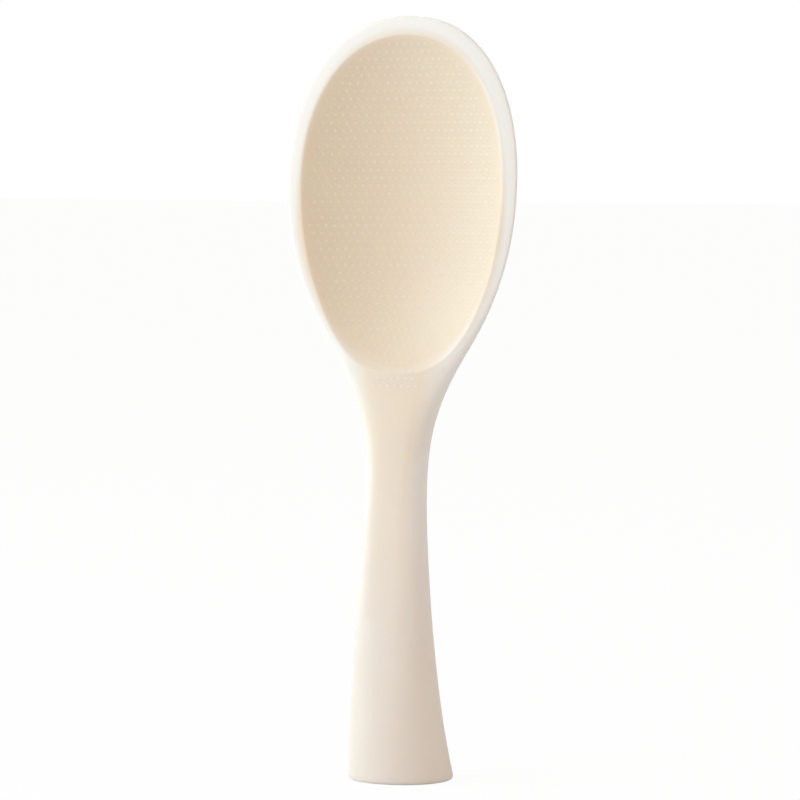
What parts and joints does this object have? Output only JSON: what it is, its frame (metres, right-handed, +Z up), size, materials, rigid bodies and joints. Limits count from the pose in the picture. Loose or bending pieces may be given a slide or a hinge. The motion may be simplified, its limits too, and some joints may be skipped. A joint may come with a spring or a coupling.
{
  "type": "rice paddle",
  "caption": "Free-standing rice paddle: a deep oval blade with a plain rounded rim, on a waisted handle that spreads into a flat foot.",
  "frame": {"origin": "on the ground under the middle of the foot", "axes": "+Z up from the foot to the tip of the blade, -Y out of the hollow of the blade, X across the blade"},
  "size_m": [0.0688, 0.0296, 0.22],
  "materials": {
    "paddle_plastic": "satin cream moulded plastic, with small raised dots in the hollow of the blade",
    "plug_plastic": "satin cream moulded plastic",
    "weight_steel": "turned bar, unpolished",
    "seal_rubber": "moulded silicone rubber"
  },
  "bodies": {
    "root": {"blade_and_handle": "paddle_plastic", "base_plug": "plug_plastic", "ballast_weight": "weight_steel", "seal_ring": "seal_rubber"}
  },
  "joints": []
}
